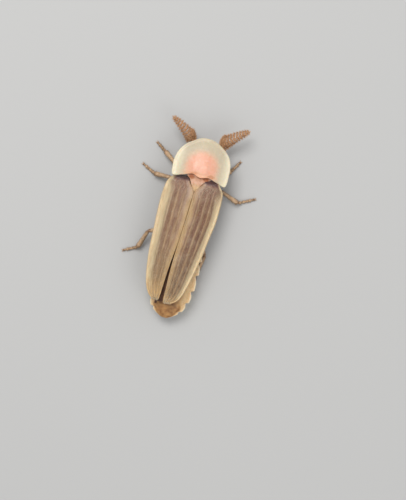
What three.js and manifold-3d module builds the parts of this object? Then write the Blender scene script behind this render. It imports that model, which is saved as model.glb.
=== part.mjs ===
// A male comb-horned firefly at rest, life size, in millimetres with +Z up.
// The head points along -Y, the animal's left is +X, and the feet stand on z = 0.
import * as THREE from "three";
import { mergeVertices } from "three/addons/utils/BufferGeometryUtils.js";
import Module from "manifold-3d";

const wasm = await Module();
wasm.setup();

// Driving dimensions
const BODY_LENGTH = 15.0; // front of the pronotum to the tip of the tail
const PRONOTUM_FRONT = -3.5;
const TAIL_TIP = PRONOTUM_FRONT + BODY_LENGTH;
const GAP = 0.25; // clear air between neighbouring pieces
const SHELL = 0.5; // thickness of the pronotum and of each wing cover
const ROOF_HALF = 2.3; // half the width that the wing covers arch over
const RIDGE_RISE = 0.11; // how far a rib stands out of a wing cover
const RIDGE_LANES = [0.24, 0.49, 0.74]; // where the ribs lie, from the seam (0) to the margin (1)
const RIDGE_HALF = 0.06; // half the width of a rib, in the same shares
const SEAM_SHIFT = 0.1; // from the right wing cover's inner edge to the middle of the roof
const HINDWING = 0.4; // thickness of the folded hindwings
const EYE_RADIUS = 0.42;
const LEG_RADIUS = 0.25;
const TARSUS_RADIUS = 0.21;
const TARSUS_BEADS = 4;
const STALK_RADIUS = 0.23; // the stalk of an antenna
const BRANCH_RADIUS = 0.17;
const BRANCH_PAIRS = 7;
const FRONT_BRANCH = 0.85; // longest branch of the front row, and below of the rear row
const REAR_BRANCH = 0.55;

// Heights of the roof that the closed wing covers make, as [y, height on the seam, fall to the margin].
const ROOF = [
  [0.0, 3.05, 0.85],
  [1.5, 3.35, 1.2],
  [4.0, 3.45, 1.25],
  [7.0, 3.25, 1.15],
  [9.0, 2.88, 0.95],
  [10.4, 2.5, 0.75],
];

// Wing covers, as [y, inner edge, outer edge] in x. They lie a little askew, as at rest.
const ELYTRON_LEFT = [
  [0.2, 0.86, 1.95],
  [0.55, 0.6, 2.45],
  [1.0, 0.27, 2.62],
  [1.8, 0.28, 2.72],
  [3.0, 0.34, 2.72],
  [4.4, 0.43, 2.67],
  [5.8, 0.55, 2.62],
  [6.7, 0.64, 2.56],
  [7.9, 0.73, 2.4],
  [9.0, 0.84, 2.15],
  [9.7, 0.88, 1.82],
  [10.05, 0.9, 1.5],
  [10.2, 0.93, 1.2],
];
const ELYTRON_RIGHT = [
  [0.15, -0.64, -1.72],
  [0.5, -0.36, -2.12],
  [1.0, 0.0, -2.24],
  [1.8, 0.06, -2.25],
  [3.0, 0.12, -2.2],
  [4.4, 0.22, -1.98],
  [5.8, 0.33, -1.78],
  [6.7, 0.4, -1.6],
  [7.9, 0.44, -1.34],
  [9.0, 0.4, -1.03],
  [9.7, 0.42, -0.72],
  [10.05, 0.4, -0.3],
  [10.22, 0.34, 0.02],
];

// Rim of the pronotum, seen from above, once round from the left hind corner.
const PRONOTUM_RIM = [
  [2.18, -0.04],
  [2.34, -0.7],
  [2.33, -1.4],
  [2.12, -2.1],
  [1.72, -2.68],
  [1.22, -3.06],
  [0.62, -3.42],
  [0.0, -3.5],
  [-0.62, -3.4],
  [-1.3, -3.03],
  [-1.87, -2.52],
  [-2.18, -1.9],
  [-2.28, -1.15],
  [-2.2, -0.04],
  [-1.5, -0.12],
  [-0.55, -0.36],
  [0.35, -0.42],
  [1.2, -0.2],
];

// Abdomen, as [y, half width, top, underside]. Each segment widens to its hind edge in a lobe.
const LOBE_HEIGHT = 1.12;
const ABDOMEN_AXIS = -0.05;
const ABDOMEN = [
  [5.15, 1.2, 1.74, 0.85],
  [5.5, 1.4, 1.8, 0.75],
  [6.3, 1.58, 1.76, 0.68],
  [6.48, 1.44, 1.72, 0.72],
  [6.8, 1.56, 1.66, 0.66],
  [7.35, 1.69, 1.58, 0.62],
  [7.52, 1.53, 1.54, 0.66],
  [7.9, 1.62, 1.48, 0.6],
  [8.6, 1.69, 1.38, 0.58],
  [8.78, 1.54, 1.32, 0.62],
];
const LANTERN_FRONT = [
  [9.03, 1.42, 1.36, 0.62],
  [9.3, 1.54, 1.36, 0.54],
  [9.7, 1.54, 1.34, 0.52],
  [9.84, 1.42, 1.3, 0.58],
];
const LANTERN_REAR = [
  [10.09, 1.22, 0.86, 0.58],
  [10.4, 1.2, 0.86, 0.5],
  [10.8, 0.95, 0.86, 0.52],
  [11.1, 0.6, 0.84, 0.58],
];
const PYGIDIUM_RIM = [
  [1.3, 10.18],
  [1.24, 10.5],
  [0.86, 11.0],
  [0.36, 11.36],
  [0.0, TAIL_TIP - 0.05],
  [-0.4, 11.32],
  [-0.82, 11.0],
  [-1.14, 10.6],
  [-1.26, 10.2],
  [0.0, 10.1],
];

// Thorax, as [y, half width, top, underside].
const PROTHORAX = [
  [-1.58, 0.6, 1.95, 1.25],
  [-1.25, 0.95, 2.15, 1.08],
  [-0.7, 1.12, 2.25, 1.02],
  [-0.25, 0.95, 2.2, 1.12],
];
const PTEROTHORAX = [
  [0.0, 0.85, 2.15, 1.25],
  [0.6, 1.3, 2.25, 1.08],
  [1.4, 1.6, 2.0, 1.02],
  [2.2, 1.6, 1.76, 0.78],
  [3.4, 1.55, 1.74, 0.96],
  [4.3, 1.42, 1.74, 1.03],
  [4.9, 1.25, 1.7, 1.1],
];

// Legs, by their root, knee, ankle and tip. The root's and the tip's heights are the same for all.
const ROOT_HEIGHT = 0.5;
const LEGS = {
  leg_front_left: [[0.55, -0.75], [1.8, -0.72, 0.98], [3.28, -1.84, 0.42], [4.1, -2.43]],
  leg_front_right: [[-0.55, -0.75], [-1.5, -0.68, 0.98], [-2.36, -1.5, 0.42], [-2.95, -2.45]],
  leg_middle_left: [[0.6, 1.3], [2.05, 0.45, 0.98], [3.73, 0.17, 0.42], [4.82, -0.43]],
  leg_middle_right: [[-0.45, 1.3], [-1.95, 0.3, 0.98], [-3.52, 0.9, 0.42], [-4.85, 0.24]],
  leg_hind_left: [[0.65, 4.0], [3.06, 4.88, 1.0], [3.6, 6.36, 0.42], [4.74, 6.91]],
  leg_hind_right: [[-0.55, 4.0], [-1.96, 5.45, 0.88], [-1.84, 7.25, 0.36], [-1.7, 8.85]],
};

// Antennae: the stalk's route, and the sign of the side that its long front branches take.
const ANTENNAE = {
  antenna_left: {
    side: 1,
    route: [
      [0.42, -3.3, 1.3],
      [0.85, -3.24, 1.33],
      [1.3, -3.26, 1.42],
      [1.68, -3.48, 1.6],
      [2.26, -3.93, 1.7],
      [2.85, -4.34, 1.76],
      [3.34, -4.68, 1.8],
    ],
  },
  antenna_right: {
    side: -1,
    route: [
      [-0.42, -3.3, 1.3],
      [-0.8, -3.28, 1.33],
      [-1.2, -3.4, 1.42],
      [-1.6, -3.72, 1.6],
      [-2.16, -4.18, 1.7],
      [-2.7, -4.6, 1.76],
      [-3.12, -4.95, 1.8],
    ],
  },
};

// Turns a surface round if its faces point inwards.
function facingOut(geometry) {
  const place = geometry.getAttribute("position");
  const index = geometry.getIndex().array;
  const [a, b, c] = [new THREE.Vector3(), new THREE.Vector3(), new THREE.Vector3()];
  let volume = 0;
  for (let i = 0; i < index.length; i += 3) {
    a.fromBufferAttribute(place, index[i]);
    b.fromBufferAttribute(place, index[i + 1]);
    c.fromBufferAttribute(place, index[i + 2]);
    volume += a.dot(b.cross(c));
  }
  if (volume < 0) geometry.setIndex([...index].reverse());
  return geometry;
}

function surface(points, faces) {
  const geometry = new THREE.BufferGeometry();
  const numbers = points.flatMap((p) => [p.x, p.y, p.z]);
  geometry.setAttribute("position", new THREE.Float32BufferAttribute(numbers, 3));
  geometry.setIndex(faces.flat());
  return facingOut(geometry);
}

// A closed body through a row of rings, each with the same number of points.
function loft(rings) {
  const sides = rings[0].length;
  const points = rings.flat();
  const faces = [];
  for (let ring = 0; ring + 1 < rings.length; ring++) {
    for (let side = 0; side < sides; side++) {
      const a = ring * sides + side;
      const b = ring * sides + ((side + 1) % sides);
      faces.push([a, b, b + sides], [a, b + sides, a + sides]);
    }
  }
  const middle = (ring) => ring.reduce((sum, p) => sum.add(p), new THREE.Vector3()).divideScalar(sides);
  const first = points.push(middle(rings[0])) - 1;
  const last = points.push(middle(rings[rings.length - 1])) - 1;
  const end = (rings.length - 1) * sides;
  for (let side = 0; side < sides; side++) {
    const next = (side + 1) % sides;
    faces.push([first, next, side], [last, end + side, end + next]);
  }
  return surface(points, faces);
}

// A curved plate over a grid: both faces are split alike and meet in a wall round the edge.
function plate(columns, rows, top, bottom) {
  const points = [];
  for (const face of [top, bottom]) {
    for (let row = 0; row <= rows; row++) {
      for (let column = 0; column <= columns; column++) points.push(face(column, row));
    }
  }
  const half = (columns + 1) * (rows + 1);
  const at = (column, row) => row * (columns + 1) + column;
  const faces = [];
  for (let row = 0; row < rows; row++) {
    for (let column = 0; column < columns; column++) {
      const [a, b] = [at(column, row), at(column + 1, row)];
      const [c, d] = [at(column + 1, row + 1), at(column, row + 1)];
      faces.push([a, b, c], [a, c, d], [half + a, half + c, half + b], [half + a, half + d, half + c]);
    }
  }
  const edge = [];
  for (let column = 0; column < columns; column++) edge.push(at(column, 0));
  for (let row = 0; row < rows; row++) edge.push(at(columns, row));
  for (let column = columns; column > 0; column--) edge.push(at(column, rows));
  for (let row = rows; row > 0; row--) edge.push(at(0, row));
  edge.forEach((a, i) => {
    const b = edge[(i + 1) % edge.length];
    faces.push([b, a, half + a], [b, half + a, half + b]);
  });
  return surface(points, faces);
}

// A shield over a closed rim: rings run from the rim to its middle, on both faces.
function shield(rim, rings, steps, top, bottom) {
  const curve = new THREE.CatmullRomCurve3(rim.map(([x, y]) => new THREE.Vector3(x, y, 0)), true);
  const outline = curve.getSpacedPoints(steps).slice(0, steps);
  const middle = outline.reduce((sum, p) => sum.add(p), new THREE.Vector3()).divideScalar(steps);
  const points = [];
  for (const face of [top, bottom]) {
    for (let ring = 0; ring < rings; ring++) {
      for (const p of outline) {
        const place = p.clone().lerp(middle, ring / rings);
        points.push(new THREE.Vector3(place.x, place.y, face(place.x, place.y)));
      }
    }
    points.push(new THREE.Vector3(middle.x, middle.y, face(middle.x, middle.y)));
  }
  const half = steps * rings + 1;
  const faces = [];
  for (const [start, turn] of [[0, 1], [half, -1]]) {
    for (let step = 0; step < steps; step++) {
      const next = (step + 1) % steps;
      for (let ring = 0; ring + 1 < rings; ring++) {
        const [a, b] = [start + ring * steps + step, start + ring * steps + next];
        faces.push(turned([a, b, b + steps], turn), turned([a, b + steps, a + steps], turn));
      }
      const inner = start + (rings - 1) * steps;
      faces.push(turned([inner + step, inner + next, start + steps * rings], turn));
    }
  }
  for (let step = 0; step < steps; step++) {
    const next = (step + 1) % steps;
    faces.push([next, step, half + step], [next, half + step, half + next]);
  }
  return surface(points, faces);
}

function turned([a, b, c], turn) {
  return turn > 0 ? [a, b, c] : [a, c, b];
}

// A round limb along a route, with a radius at each of its stations.
function limb(route, radii, sides) {
  const curve = new THREE.CatmullRomCurve3(route);
  const up = new THREE.Vector3(0, 0, 1);
  const rings = radii.map((radius, i) => {
    const t = i / (radii.length - 1);
    const along = curve.getTangent(t);
    const across = new THREE.Vector3().crossVectors(along, up).normalize();
    const over = new THREE.Vector3().crossVectors(across, along);
    const centre = curve.getPoint(t);
    return Array.from({ length: sides }, (_, side) => {
      const angle = ((side + 0.5) / sides) * 2 * Math.PI;
      return centre
        .clone()
        .addScaledVector(across, radius * Math.cos(angle))
        .addScaledVector(over, radius * Math.sin(angle));
    });
  });
  return loft(rings);
}

function ball(centre, radii, columns, rows) {
  const geometry = new THREE.SphereGeometry(1, columns, rows);
  geometry.scale(...radii);
  geometry.translate(...centre);
  return geometry;
}

function solid(geometry) {
  const bare = new THREE.BufferGeometry();
  bare.setAttribute("position", geometry.getAttribute("position"));
  bare.setIndex(geometry.getIndex());
  const merged = mergeVertices(bare, 1e-4);
  const triVerts = new Uint32Array(merged.getIndex().array);
  const vertProperties = merged.getAttribute("position").array;
  return new wasm.Manifold(new wasm.Mesh({ numProp: 3, vertProperties, triVerts }));
}

// The largest closed surface of a solid, as a geometry.
function geometryOf(manifold) {
  const [largest] = manifold.decompose().sort((a, b) => b.volume() - a.volume());
  const mesh = largest.getMesh();
  const geometry = new THREE.BufferGeometry();
  geometry.setAttribute("position", new THREE.Float32BufferAttribute(mesh.vertProperties, 3));
  geometry.setIndex(new THREE.Uint32BufferAttribute(mesh.triVerts, 1));
  return geometry;
}

function fused(pieces, cutters = []) {
  let body = pieces.map(solid).reduce((sum, piece) => sum.add(piece));
  for (const cutter of cutters) body = body.subtract(solid(cutter));
  return geometryOf(body);
}

// Value of a table of [y, ...values] at y, on a smooth curve through its rows.
function tableAt(table, y, column) {
  const last = table.length - 1;
  const place = Math.min(Math.max(y, table[0][0]), table[last][0]);
  const row = Math.min(table.findLastIndex((entry) => entry[0] <= place), last - 1);
  const [low, high] = [table[row], table[row + 1]];
  const t = THREE.MathUtils.smoothstep(place, low[0], high[0]);
  return THREE.MathUtils.lerp(low[column], high[column], t);
}

// Height of the roof of closed wings over a point.
function roofHeight(x, y) {
  const seam = tableAt(ELYTRON_RIGHT, y, 1) + SEAM_SHIFT;
  const reach = Math.abs(x - seam) / ROOF_HALF;
  const brim = 0.22 * THREE.MathUtils.smoothstep(reach, 0.75, 1.1);
  return tableAt(ROOF, y, 1) - tableAt(ROOF, y, 2) * reach ** 2.2 + brim;
}

function ribHeight(lane) {
  const nearest = Math.min(...RIDGE_LANES.map((ridge) => Math.abs(lane - ridge)));
  return RIDGE_RISE * Math.max(0, 1 - nearest / RIDGE_HALF);
}

// Places across a wing cover that its ribs need.
function lanesWithRibs() {
  const lanes = [0, 0.09];
  for (const ridge of RIDGE_LANES) lanes.push(ridge - RIDGE_HALF, ridge, ridge + RIDGE_HALF);
  return [...lanes, 0.91, 1];
}

function elytron(stations, rows) {
  const knots = stations.map(([y, inner, outer]) => new THREE.Vector3(inner, y, outer));
  const curve = new THREE.CatmullRomCurve3(knots);
  const lanes = lanesWithRibs();
  const place = (column, row) => {
    const { x: inner, y, z: outer } = curve.getPoint(row / rows);
    return [THREE.MathUtils.lerp(inner, outer, lanes[column]), y];
  };
  const top = (column, row) => {
    const [x, y] = place(column, row);
    const rib = row > 1 && row < rows - 1 ? ribHeight(lanes[column]) : 0;
    return new THREE.Vector3(x, y, roofHeight(x, y) + rib);
  };
  const bottom = (column, row) => {
    const [x, y] = place(column, row);
    return new THREE.Vector3(x, y, roofHeight(x, y) - SHELL);
  };
  return plate(lanes.length - 1, rows, top, bottom);
}

// A folded hindwing between two edges, given in x at each y, close under the wing covers.
function hindwing(innerAt, outerAt) {
  const [columns, rows] = [6, 10];
  const [front, back] = [2.4, 9.1];
  const place = (column, row) => {
    const y = THREE.MathUtils.lerp(front, back, row / rows);
    const taper = 1 - 0.55 * THREE.MathUtils.smoothstep(y, 7.6, back + 0.2);
    const [inner, outer] = [innerAt(y), innerAt(y) + (outerAt(y) - innerAt(y)) * taper];
    return [THREE.MathUtils.lerp(inner, outer, column / columns), y];
  };
  const face = (drop) => (column, row) => {
    const [x, y] = place(column, row);
    return new THREE.Vector3(x, y, roofHeight(x, y) - SHELL - GAP - drop);
  };
  return plate(columns, rows, face(0), face(HINDWING));
}

function across(stations, y, share) {
  return THREE.MathUtils.lerp(tableAt(stations, y, 1), tableAt(stations, y, 2), share);
}

const hindwingLeft = () =>
  hindwing((y) => across(ELYTRON_LEFT, y, 0.29), (y) => across(ELYTRON_LEFT, y, 0.66));
const hindwingRight = () =>
  hindwing((y) => across(ELYTRON_LEFT, y, 0.14), (y) => across(ELYTRON_RIGHT, y, 0.62));

// Height of the top of the pronotum: a hood that is high behind, with a flat pale brim.
function pronotumHeight(x, y) {
  const back = THREE.MathUtils.clamp((y - PRONOTUM_FRONT) / 3.2, 0, 1);
  const brim = 2.28 + 0.1 * back;
  const crown = 2.34 + 0.76 * Math.sin((Math.min(1, back / 0.85) * Math.PI) / 2);
  const halfWidth = 0.8 + 1.5 * Math.sin((Math.min(1, back / 0.62) * Math.PI) / 2);
  const reach = Math.min(1, Math.abs(x) / halfWidth);
  return brim + (crown - brim) * Math.cos((reach * Math.PI) / 2) ** 1.3;
}

const pronotum = () =>
  shield(PRONOTUM_RIM, 7, 40, pronotumHeight, (x, y) => pronotumHeight(x, y) - SHELL);

// A ring of the trunk: an ellipse with its widest points at a given height.
function trunkRing([y, halfWidth, top, underside], axis, widest, tuck, sides) {
  return Array.from({ length: sides }, (_, side) => {
    const angle = (side / sides) * 2 * Math.PI;
    const [c, s] = [Math.cos(angle), Math.sin(angle)];
    const narrowing = s < 0 ? 1 + tuck * s : 1;
    const z = s > 0 ? widest + (top - widest) * s : widest + (widest - underside) * s;
    return new THREE.Vector3(axis + halfWidth * narrowing * c, y, z);
  });
}

const trunk = (stations, axis, widest, tuck) =>
  loft(stations.map((station) => trunkRing(station, axis, widest, tuck, 16)));

// The rear lantern lies under the last back plate, so it is widest low down.
const LANTERN_REAR_HEIGHT = 0.7;

function pygidiumTop(x, y) {
  const back = (y - 10) / (TAIL_TIP - 10);
  return 1.58 - 0.3 * back ** 2 - 0.16 * x ** 2;
}

// Its underside stays clear of the lantern beneath it.
function pygidiumUnderside(x, y) {
  const lowest = LANTERN_REAR_HEIGHT + 0.16 + GAP;
  return Math.max(lowest, pygidiumTop(x, y) - SHELL);
}

const pygidium = () => shield(PYGIDIUM_RIM, 4, 24, pygidiumTop, pygidiumUnderside);

function scutellum() {
  const outline = new THREE.Shape([
    new THREE.Vector2(-0.42, -0.12),
    new THREE.Vector2(0.1, -0.17),
    new THREE.Vector2(0.62, -0.1),
    new THREE.Vector2(0.16, 0.78),
    new THREE.Vector2(0.06, 0.78),
  ]);
  const geometry = new THREE.ExtrudeGeometry(outline, { depth: SHELL, bevelEnabled: false });
  geometry.translate(0, 0, 2.56);
  return geometry;
}

const eyeCentre = (side) => [side * 0.75, -2.38, 1.38];
const eye = (side) => ball(eyeCentre(side), [EYE_RADIUS, EYE_RADIUS, EYE_RADIUS], 14, 8);

function head() {
  const socket = (side) => ball(eyeCentre(side), Array(3).fill(EYE_RADIUS + 0.2), 14, 8);
  return fused([ball([0, -2.42, 1.36], [0.8, 0.6, 0.5], 20, 12)], [socket(1), socket(-1)]);
}

// Jaws and palps hang under the front of the head.
function mouthparts() {
  const palp = (side) =>
    limb(
      [
        new THREE.Vector3(side * 0.12, -2.72, 0.52),
        new THREE.Vector3(side * 0.34, -2.95, 0.46),
        new THREE.Vector3(side * 0.42, -3.2, 0.4),
      ],
      [0.12, 0.14, 0.15, 0.06],
      6,
    );
  return fused([ball([0, -2.68, 0.54], [0.34, 0.26, 0.18], 10, 6), palp(1), palp(-1)]);
}

const FLOOR_BLOCK = new THREE.BoxGeometry(40, 40, 4).translate(0, 4, -2);

// One leg from coxa to claws, as a chain of swollen joints with flats where it stands.
function leg([root, knee, ankle, tip]) {
  const base = new THREE.Vector3(...root, ROOT_HEIGHT);
  const bend = new THREE.Vector3(...knee);
  const heel = new THREE.Vector3(...ankle);
  const toe = new THREE.Vector3(...tip, TARSUS_RADIUS * 0.5);
  const between = (a, b, t, lift) => a.clone().lerp(b, t).add(new THREE.Vector3(0, 0, lift));
  const femurRadii = [0.7, 1.1, 1.2, 1.05, 0.8].map((share) => share * LEG_RADIUS);
  const tibiaRadii = [0.8, 0.95, 1.0, 1.0, 0.8].map((share) => share * LEG_RADIUS);
  const coxa = ball(base.toArray(), [0.32, 0.36, 0.26], 8, 4);
  const femur = limb([base, between(base, bend, 0.5, 0.06), bend], femurRadii, 7);
  const joint = ball(bend.toArray(), Array(3).fill(LEG_RADIUS * 0.95), 8, 4);
  const tibia = limb([bend, between(bend, heel, 0.5, 0.04), heel], tibiaRadii, 7);
  return fused([coxa, femur, joint, tibia, ...tarsus(heel, toe), ...claws(heel, toe)], [FLOOR_BLOCK]);
}

// The beads of a foot, one behind another from heel to toe.
function tarsus(heel, toe) {
  return Array.from({ length: TARSUS_BEADS }, (_, i) => {
    const [near, far] = [i / TARSUS_BEADS - 0.06, (i + 0.9) / TARSUS_BEADS];
    const size = TARSUS_RADIUS * (1 - 0.1 * i);
    const low = (t) => {
      const place = heel.clone().lerp(toe, Math.max(0, t) * 0.86);
      place.z = THREE.MathUtils.lerp(heel.z, size * 0.86, Math.min(1, Math.max(0, t) * 3));
      return place;
    };
    return limb([low(near), low((near + far) / 2), low(far)], [0.65 * size, size, 0.75 * size], 6);
  });
}

function claws(heel, toe) {
  const along = toe.clone().sub(heel).setZ(0).normalize();
  const across = new THREE.Vector3(-along.y, along.x, 0);
  return [-1, 1].map((side) => {
    const start = toe.clone().addScaledVector(along, -0.22);
    const middle = toe.clone().addScaledVector(along, -0.06).addScaledVector(across, side * 0.1);
    const end = toe.clone().addScaledVector(along, 0.05).addScaledVector(across, side * 0.16);
    return limb([start, middle, end.setZ(0.05)], [0.12, 0.1, 0.04], 5);
  });
}

// One antenna: a tapering stalk with two rows of curved branches that shorten towards its tip.
function antenna({ side, route }) {
  const points = route.map((p) => new THREE.Vector3(...p));
  const curve = new THREE.CatmullRomCurve3(points);
  const radii = [0.8, 1.0, 1.0, 0.92, 0.86, 0.8, 0.72, 0.62, 0.5, 0.25].map((share) => share * STALK_RADIUS);
  const pieces = [limb(points, radii, 8)];
  for (let pair = 0; pair < BRANCH_PAIRS; pair++) {
    const out = pair / (BRANCH_PAIRS - 1);
    const t = THREE.MathUtils.lerp(0.4, 0.93, out);
    const share = THREE.MathUtils.lerp(1, 0.34, out);
    pieces.push(branch(curve, t, side, FRONT_BRANCH * share, 0.12));
    pieces.push(branch(curve, t, -side, REAR_BRANCH * share, -0.5));
  }
  return fused(pieces);
}

// One branch from the stalk, bent towards the tip of the antenna.
function branch(curve, t, side, length, rise) {
  const root = curve.getPoint(t);
  const along = curve.getTangent(t);
  const across = new THREE.Vector3(along.y, -along.x, 0).normalize().multiplyScalar(side);
  const out = across.clone().add(new THREE.Vector3(0, 0, rise));
  const route = [
    root.clone(),
    root.clone().addScaledVector(out, 0.5 * length).addScaledVector(along, 0.1 * length),
    root.clone().addScaledVector(out, 0.95 * length).addScaledVector(along, 0.4 * length),
  ];
  const size = BRANCH_RADIUS * (0.75 + 0.35 * length);
  return limb(route, [size, 0.85 * size, 0.6 * size, 0.22 * size], 5);
}

const COLOURS = {
  cream: [0xe6dac0, 0.45],
  brown: [0x927460, 0.42],
  dark: [0x4b2e19, 0.5],
  amber: [0x9a744c, 0.5],
  lantern: [0xe9e2b4, 0.55],
  leg: [0x9c8772, 0.5],
  comb: [0xa4886e, 0.6],
  scutellum: [0xd3b196, 0.5],
  eye: [0x17120f, 0.15],
};

function mesh(name, geometry, colour) {
  const [tint, roughness] = COLOURS[colour];
  const material = new THREE.MeshStandardMaterial({ color: tint, roughness, metalness: 0 });
  const made = new THREE.Mesh(geometry, material);
  made.name = name;
  return made;
}

const body = new THREE.Group();
body.add(
  mesh("head", head(), "amber"),
  mesh("eye_left", eye(1), "eye"),
  mesh("eye_right", eye(-1), "eye"),
  mesh("mouthparts", mouthparts(), "amber"),
  mesh("pronotum", pronotum(), "cream"),
  mesh("prothorax", trunk(PROTHORAX, 0, 1.55, 0.12), "amber"),
  mesh("scutellum", scutellum(), "scutellum"),
  mesh("pterothorax", trunk(PTEROTHORAX, 0.12, 1.42, 0.15), "amber"),
  mesh("elytron_left", elytron(ELYTRON_LEFT, 22), "brown"),
  mesh("elytron_right", elytron(ELYTRON_RIGHT, 22), "brown"),
  mesh("hindwing_left", hindwingLeft(), "dark"),
  mesh("hindwing_right", hindwingRight(), "dark"),
  mesh("abdomen", trunk(ABDOMEN, ABDOMEN_AXIS, LOBE_HEIGHT, 0.3), "amber"),
  mesh("lantern_front", trunk(LANTERN_FRONT, ABDOMEN_AXIS, 1.0, 0.3), "lantern"),
  mesh("lantern_rear", trunk(LANTERN_REAR, 0, LANTERN_REAR_HEIGHT, 0.3), "lantern"),
  mesh("pygidium", pygidium(), "amber"),
);
for (const [name, joints] of Object.entries(LEGS)) body.add(mesh(name, leg(joints), "leg"));
for (const [name, shape] of Object.entries(ANTENNAE)) body.add(mesh(name, antenna(shape), "comb"));

// The origin is under the middle of the whole animal, on the floor.
const bounds = new THREE.Box3().setFromObject(body);
const middle = bounds.getCenter(new THREE.Vector3());
body.position.set(-middle.x, -middle.y, -bounds.min.z);

const firefly = new THREE.Group();
firefly.add(body);

export default firefly;
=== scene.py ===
import math
import random

import bmesh
import bpy
import numpy as np
from mathutils import Matrix, Vector


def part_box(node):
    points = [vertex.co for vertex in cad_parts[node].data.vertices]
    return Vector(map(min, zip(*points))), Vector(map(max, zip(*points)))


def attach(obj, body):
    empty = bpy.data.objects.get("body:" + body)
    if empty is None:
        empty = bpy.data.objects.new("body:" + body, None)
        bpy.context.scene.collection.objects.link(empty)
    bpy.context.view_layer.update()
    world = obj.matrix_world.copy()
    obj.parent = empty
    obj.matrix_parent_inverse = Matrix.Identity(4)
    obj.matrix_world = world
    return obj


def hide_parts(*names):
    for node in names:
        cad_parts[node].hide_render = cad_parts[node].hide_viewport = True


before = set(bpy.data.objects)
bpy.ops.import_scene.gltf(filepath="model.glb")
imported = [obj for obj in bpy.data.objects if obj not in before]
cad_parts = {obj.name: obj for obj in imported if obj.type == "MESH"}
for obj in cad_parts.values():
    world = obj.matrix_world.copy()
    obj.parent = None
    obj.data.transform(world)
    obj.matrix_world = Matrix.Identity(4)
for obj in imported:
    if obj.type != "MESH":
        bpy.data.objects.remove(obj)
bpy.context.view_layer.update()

MM = 0.001

# The lowest corner of the scutellum in the millimetres that the sizes below are written in.
SCUTELLUM_CORNER = Vector((-0.42, -0.17, 2.56))
SHIFT = np.array(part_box("scutellum")[0] / MM - SCUTELLUM_CORNER)

# Heights of the roof that the closed wing covers make, as y, height on the seam, fall to the margin.
ROOF = [
    (-0.3, 3.0, 0.8), (0.0, 3.05, 0.85), (1.5, 3.35, 1.2), (4.0, 3.45, 1.25),
    (7.0, 3.25, 1.15), (9.0, 2.88, 0.95), (10.4, 2.5, 0.75),
]
ROOF_HALF = 2.3

# Wing covers, as y, inner edge, outer edge. The first row is tucked under the pronotum.
ELYTRON_LEFT = [
    (-0.2, 0.7, 1.95), (0.2, 0.66, 2.28), (0.55, 0.46, 2.52), (1.0, 0.15, 2.63),
    (1.8, 0.19, 2.72), (3.0, 0.25, 2.72), (4.4, 0.34, 2.67), (5.8, 0.47, 2.62),
    (6.7, 0.59, 2.56), (7.9, 0.7, 2.4), (9.0, 0.78, 2.15), (9.65, 0.83, 1.82),
    (9.95, 0.87, 1.5), (10.07, 0.93, 1.2),
]
ELYTRON_RIGHT = [
    (-0.25, -0.5, -1.6), (0.15, -0.46, -1.85), (0.5, -0.24, -2.14), (1.0, 0.09, -2.24),
    (1.8, 0.15, -2.25), (3.0, 0.21, -2.2), (4.4, 0.31, -1.98), (5.8, 0.41, -1.78),
    (6.7, 0.45, -1.6), (7.9, 0.48, -1.34), (9.0, 0.47, -1.03), (9.7, 0.48, -0.72),
    (10.05, 0.45, -0.3), (10.22, 0.36, 0.05),
]
ELYTRON_THICKNESS = 0.1
RIB_LANES = (0.26, 0.47, 0.66)
# The outer edge turns down from this lane by this much, close to the body's side.
FOLD_LANE = 0.94
FOLD_DEPTH = 0.34
RIB_RISES = (0.085, 0.075, 0.06)
ELYTRON_HAIRS = 5200
ELYTRON_HAIR_LENGTH = 0.15
ELYTRON_HAIR_RADIUS = 0.0065

HINDWING_START = 2.3
HINDWING_DEPTH = 0.42
HINDWING_THICKNESS = 0.07
VEIN_LANES = (0.12, 0.3, 0.52, 0.75)

PRONOTUM_FRONT = -3.5
PRONOTUM_RIM = [
    (2.18, -0.04), (2.34, -0.7), (2.33, -1.4), (2.12, -2.1), (1.72, -2.68),
    (1.22, -3.06), (0.62, -3.42), (0.0, -3.5), (-0.62, -3.4), (-1.3, -3.03),
    (-1.87, -2.52), (-2.18, -1.9), (-2.28, -1.15), (-2.2, -0.04), (-1.5, -0.14),
    (-0.75, -0.36), (-0.05, -0.22), (0.62, -0.42), (1.35, -0.2),
]
PRONOTUM_THICKNESS = 0.13
PRONOTUM_BRIM = 2.28
PRONOTUM_CROWN = 2.34
PRONOTUM_RISE = 0.76
SCUTELLUM_TOP = 3.13
SCUTELLUM_THICKNESS = 0.12

SCUTELLUM_RIM = [
    (-0.95, -0.5), (0.05, -0.52), (1.0, -0.5), (0.98, -0.24),
    (0.72, 0.0), (0.57, 0.3), (0.36, 0.65), (0.12, 1.0),
    (-0.12, 0.65), (-0.34, 0.3), (-0.55, 0.02), (-0.9, -0.2),
]

# The trunk, as y, half width, top, underside. Its widest points are at the given height.
THORAX = [
    (-1.75, 0.45, 1.85, 1.2), (-1.4, 0.85, 2.25, 1.1), (-0.8, 1.12, 2.6, 1.02),
    (-0.35, 1.0, 2.58, 1.1), (-0.1, 0.92, 2.45, 1.22), (0.25, 1.15, 2.66, 1.15),
    (0.8, 1.45, 2.8, 1.05), (1.5, 1.62, 2.68, 1.0), (2.4, 1.66, 2.5, 0.82),
    (3.3, 1.62, 2.4, 0.86), (4.2, 1.5, 2.32, 0.98), (5.1, 1.3, 2.22, 1.0),
]
THORAX_AXIS = 0.08
THORAX_WIDEST = 1.5
THORAX_SEAMS = (-0.1, 1.95, 3.2, 4.85)
ABDOMEN = [
    (4.8, 1.15, 2.15, 0.95), (5.5, 1.42, 2.28, 0.75), (6.5, 1.52, 2.24, 0.66),
    (7.5, 1.54, 2.1, 0.6), (8.6, 1.5, 1.92, 0.56), (9.6, 1.38, 1.74, 0.52),
    (10.3, 1.22, 1.62, 0.5), (10.8, 0.98, 1.5, 0.52), (11.15, 0.7, 1.36, 0.6),
    (11.36, 0.38, 1.22, 0.75), (11.44, 0.14, 1.1, 0.92),
]
LOBE_REACH = 0.2
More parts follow.
